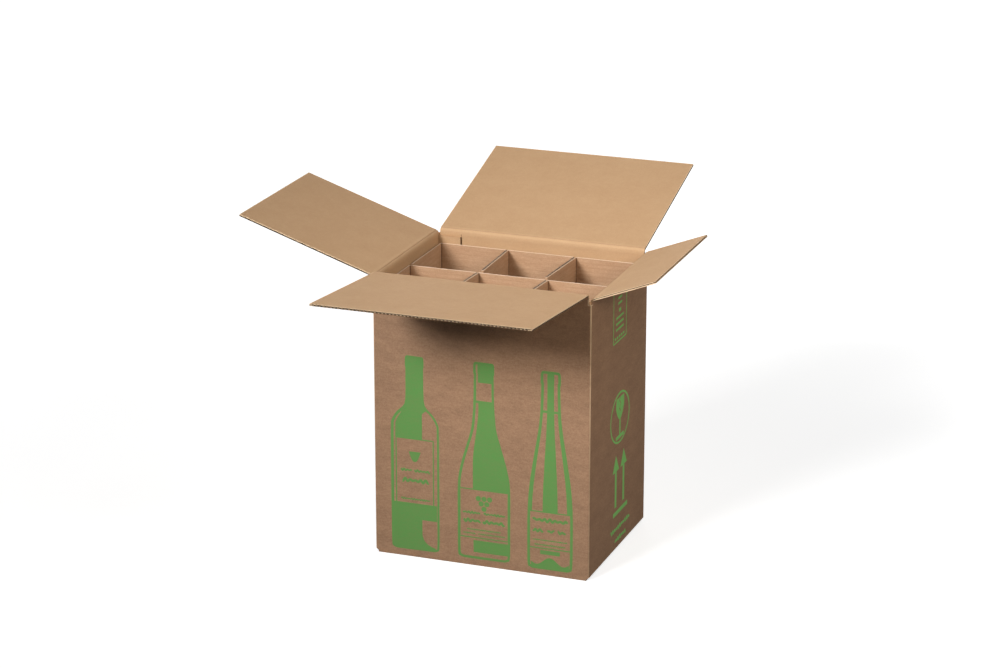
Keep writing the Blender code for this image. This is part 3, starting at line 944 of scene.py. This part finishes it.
def arrow_sign():
    """The sign for this side up: two arrows on a bar."""
    head_low, head_high, head_half, shaft_half, bar_high = 122.0, 146.0, 14, 3.8, 61.5
    shapes = []
    for middle in (-10.3, 24.2):
        tip = np.array((head_half, 0.2))
        shapes.append(field(np.array((head_low, head_high)), middle - tip, middle + tip))
        shapes.append(block(middle - shaft_half, middle + shaft_half, bar_high + 6.5, head_low + 1))
    return shapes + [block(-20.6, 42.7, bar_high - 6.5, bar_high)]


def bar_strip(stroke):
    """An upright strip in a thin frame, with rows of bars in place of its writing."""
    bar = 3.2
    return [
        ribbon(loop_of(-28, 28, 315, 400), stroke * 0.7),
        *(block(-17, 16, height, height + bar) for height in (331, 339.5, 348)),
        *(block(start, start + 6, 319, 322.5) for start in (-22, -13, -4, 5, 14)),
        block(-5, 4, 357, 362),
        *(block(-9, 8, height, height + bar) for height in (368, 376, 384, 392)),
    ]


class CARTON_OT_board(bpy.types.Operator):
    """Give every solid its board: walls, top flaps and dividers"""

    bl_idname = "carton.board"
    bl_label = "Board"

    def execute(self, context):
        colours = context.scene.carton_colours
        looks = {"carton_body": carton_material(colours)}
        for side in outwards:
            looks[side + "_flap"] = flap_material(side, colours)
        for node, leans in divider_leans.items():
            _, _, back_y, front_y, _, roots, folds = divider_plan(node)
            gaps = [(root, lean, back_y, front_y + nose_setback) for root, lean in zip(roots, leans)]
            looks[node] = divider_material(node, folds, gaps, colours)
        for node, material in looks.items():
            for place in frame["nodes"][node].material_slots:
                place.material = material
        return {"FINISHED"}


class CARTON_OT_creases(bpy.types.Operator):
    """Carry the liners over the crease of each top flap, inside and outside"""

    bl_idname = "carton.creases"
    bl_label = "Creases"

    def execute(self, context):
        colours, sizes = context.scene.carton_colours, context.scene.carton_sizes
        inner = crease_material(colours, "inside", True)
        outer = crease_material(colours, "outside", False)
        for side in outwards:
            crease_strip(side, True, sizes, inner)
            crease_strip(side, False, sizes, outer)
        return {"FINISHED"}


class CARTON_OT_divider_edges(bpy.types.Operator):
    """Show both liners and the open flute along the top of each divider"""

    bl_idname = "carton.divider_edges"
    bl_label = "Divider edges"

    def execute(self, context):
        sizes = context.scene.carton_sizes
        material = edge_material(context.scene.carton_colours)
        for node, leans in divider_leans.items():
            divider_edge(node + "_top_edge", divider_path(node, leans), sizes, material)
        return {"FINISHED"}


class CARTON_OT_front_print(bpy.types.Operator):
    """Print three plain bottles of common shapes on the front"""

    bl_idname = "carton.front_print"
    bl_label = "Front print"

    def execute(self, context):
        colours, sizes = context.scene.carton_colours, context.scene.carton_sizes
        material = ink_material("on_front", colours.ink, colours.outer_dark)
        stroke = sizes.stroke / millimetre
        bottles = {
            "front_print_high_shoulder_bottle": high_shoulder_bottle,
            "front_print_sloping_bottle": sloping_bottle,
            "front_print_slim_bottle": slim_bottle,
        }
        for name, bottle in bottles.items():
            put_print(name, bottle(stroke), "front", sizes, material)
        return {"FINISHED"}


class CARTON_OT_side_print(bpy.types.Operator):
    """Print the common handling signs on the right side: upright bars, glass in a ring, two arrows"""

    bl_idname = "carton.side_print"
    bl_label = "Side print"

    def execute(self, context):
        colours, sizes = context.scene.carton_colours, context.scene.carton_sizes
        # The side's ink is painted lighter, as painted light for the dimmer right side
        material = ink_material("on_right_side", colours.side_ink_painted_lighter, colours.outer_dark)
        stroke = sizes.stroke / millimetre
        prints = {
            "side_print_glass_sign": glass_sign(stroke),
            "side_print_arrow_sign": arrow_sign(),
            "side_print_small_marks": words(-30, 54, ((34, 7.0, (0.0, 1.0)), (17, 7.0, (0.22, 0.8)))),
            "side_print_bar_strip": bar_strip(stroke),
        }
        for name, shapes in prints.items():
            put_print(name, shapes, "right", sizes, material)
        return {"FINISHED"}


def area_lamp(name, place, target, size, power, spread, colour):
    """A square soft lamp at a place, turned to a target; its grid narrows the light to a spread in degrees."""
    data = bpy.data.lights.new(name, "AREA")
    data.shape = "SQUARE"
    data.size = size
    data.energy = power
    data.color = colour
    data.spread = math.radians(spread)
    lamp = bpy.data.objects.new(name, data)
    lamp.location = place
    lamp.rotation_euler = (Vector(target) - Vector(place)).to_track_quat("-Z", "Y").to_euler()
    lamp.visible_camera = False
    bpy.context.scene.collection.objects.link(lamp)
    return lamp


def seen_directly(tree):
    """1 for the eye's own rays and mirrored ones, 0 for the light that is thrown on."""
    path = add(tree, "LightPath")
    return add(tree, "Math", {0: path["Is Camera Ray"], 1: path["Is Glossy Ray"]}, operation="MAXIMUM")["Value"]


def paper_floor():
    """Matt white paper sweep.

    It keeps the carton's soft shadow, and the eye sees it lit from inside, more so far away, so that
    it stays white. For the light that it throws back it counts as grey.
    """
    reach = 40.0
    glow_from, glow_to = 0.5, 1.8
    material, tree, place = start_material("matt_white_paper_floor")
    tone = add(tree, "TexNoise", {"Vector": place, "Scale": 0.8, "Detail": 1.0})["Fac"]
    white = paint(tree, linear("#cfcfce"), (tone, linear("#cccccc")))
    seen = seen_directly(tree)
    matt = add(tree, "BsdfDiffuse", {"Color": paint(tree, linear("#606060"), (seen, white))})["BSDF"]
    away = add(tree, "VectorMath", {0: place}, operation="LENGTH")["Value"]
    far = add(tree, "MapRange", {
        "Value": away, "From Min": glow_from, "From Max": glow_to, "To Min": 0.70, "To Max": 0.97},
        interpolation_type="SMOOTHSTEP")["Result"]
    glow = add(tree, "Math", {0: seen, 1: far}, operation="MULTIPLY")["Value"]
    pale = add(tree, "Emission", {"Color": (1, 1, 1), "Strength": glow})["Emission"]
    add(tree, "OutputMaterial", {"Surface": add(tree, "AddShader", {0: matt, 1: pale})["Shader"]})
    corners = np.array([(-reach, -reach, 0), (reach, -reach, 0), (reach, reach, 0), (-reach, reach, 0)])
    mesh = bpy.data.meshes.new("floor")
    mesh.from_pydata(corners.tolist(), [], [(0, 1, 2, 3)])
    mesh.materials.append(material)
    floor = bpy.data.objects.new("floor", mesh)
    bpy.context.scene.collection.objects.link(floor)


def put_camera(scene, stage):
    """A camera at the photograph's angle: back from the point it looks at, along its own turn and tilt."""
    target = (-0.0167, 0.3049)
    turn, height = stage.turn, stage.height
    back = Vector((math.sin(turn) * math.cos(height), -math.cos(turn) * math.cos(height), math.sin(height)))
    right = Vector((math.cos(turn), math.sin(turn), 0))
    over = back.cross(right)
    data = bpy.data.cameras.new("camera")
    data.sensor_fit = "HORIZONTAL"
    data.sensor_width = 36
    data.lens = stage.lens
    data.clip_end = 100
    camera = bpy.data.objects.new("camera", data)
    place = right * target[0] + Vector((0, 0, target[1])) + back * stage.distance
    camera.matrix_world = Matrix.Translation(place) @ Matrix((right, over, back)).transposed().to_4x4()
    scene.collection.objects.link(camera)
    scene.camera = camera


def put_surroundings(scene, fill):
    """White all round for the eye, and a weak even light for the carton."""
    world = bpy.data.worlds.new("studio")
    scene.world = world
    world.use_nodes = True
    tree = world.node_tree
    tree.nodes.clear()
    strength = add(tree, "MapRange", {"Value": seen_directly(tree), "To Min": fill, "To Max": 1.0})["Result"]
    background = add(tree, "Background", {"Color": (1, 1, 1), "Strength": strength})["Background"]
    add(tree, "OutputWorld", {"Surface": background})


class CARTON_OT_stage(bpy.types.Operator):
    """Set the pale floor, the soft lamps and the camera"""

    bl_idname = "carton.stage"
    bl_label = "Stage"

    def execute(self, context):
        scene = context.scene
        stage = scene.carton_stage
        put_camera(scene, stage)
        paper_floor()
        white, warm = (1, 1, 1), (1, 0.90, 0.76)
        lamps = (
            # name, place, target, size, power, spread, colour
            ("key_lamp", (-1.28, -3.34, 2.35), (0.13, -0.05, 0.62), 1.25, stage.key, 34, white),
            ("right_lamp", (1.33, -0.85, 1.10), (0.16, -0.12, 0.40), 0.45, stage.right, 40, warm),
            ("top_lamp", (1.2, 0.3, 2.4), (0, -0.05, 0.3), 1.1, stage.top, 75, white),
            ("rear_lamp", (-1.2, 3.1, 0.75), (0, 0.1, 0.25), 1.2, stage.rear, 40, white),
        )
        for lamp in lamps:
            area_lamp(*lamp)
        put_surroundings(scene, stage.fill)
        scene.view_settings.view_transform = "Standard"
        return {"FINISHED"}


class CARTON_PT_panel(bpy.types.Panel):
    """Lists the colours, the sizes and the steps"""

    bl_idname = "CARTON_PT_panel"
    bl_label = "Bottle carton"
    bl_space_type = "VIEW_3D"
    bl_region_type = "UI"
    bl_category = "Carton"

    def draw(self, context):
        scene = context.scene
        for group in (scene.carton_colours, scene.carton_sizes, scene.carton_stage):
            box = self.layout.box()
            for name in group.bl_rna.properties.keys():
                if name not in ("rna_type", "name"):
                    box.prop(group, name)
        for step in steps:
            self.layout.operator(step.bl_idname)


groups = {
    "carton_colours": CartonColours,
    "carton_sizes": CartonSizes,
    "carton_stage": CartonStage,
}
steps = (
    CARTON_OT_board,
    CARTON_OT_creases,
    CARTON_OT_divider_edges,
    CARTON_OT_front_print,
    CARTON_OT_side_print,
    CARTON_OT_stage,
)


def register():
    """Make the classes and the scene's settings known."""
    for kind in (*groups.values(), *steps, CARTON_PT_panel):
        bpy.utils.register_class(kind)
    for name, kind in groups.items():
        setattr(bpy.types.Scene, name, bpy.props.PointerProperty(type=kind))


def unregister():
    """Take the classes and the settings away again."""
    for name in groups:
        delattr(bpy.types.Scene, name)
    for kind in (CARTON_PT_panel, *reversed(steps), *reversed(list(groups.values()))):
        bpy.utils.unregister_class(kind)


def main():
    """Dress the carton step by step."""
    register()
    bpy.ops.carton.board()
    bpy.ops.carton.creases()
    bpy.ops.carton.divider_edges()
    bpy.ops.carton.front_print()
    bpy.ops.carton.side_print()
    bpy.ops.carton.stage()


if __name__ == "__main__":
    main()
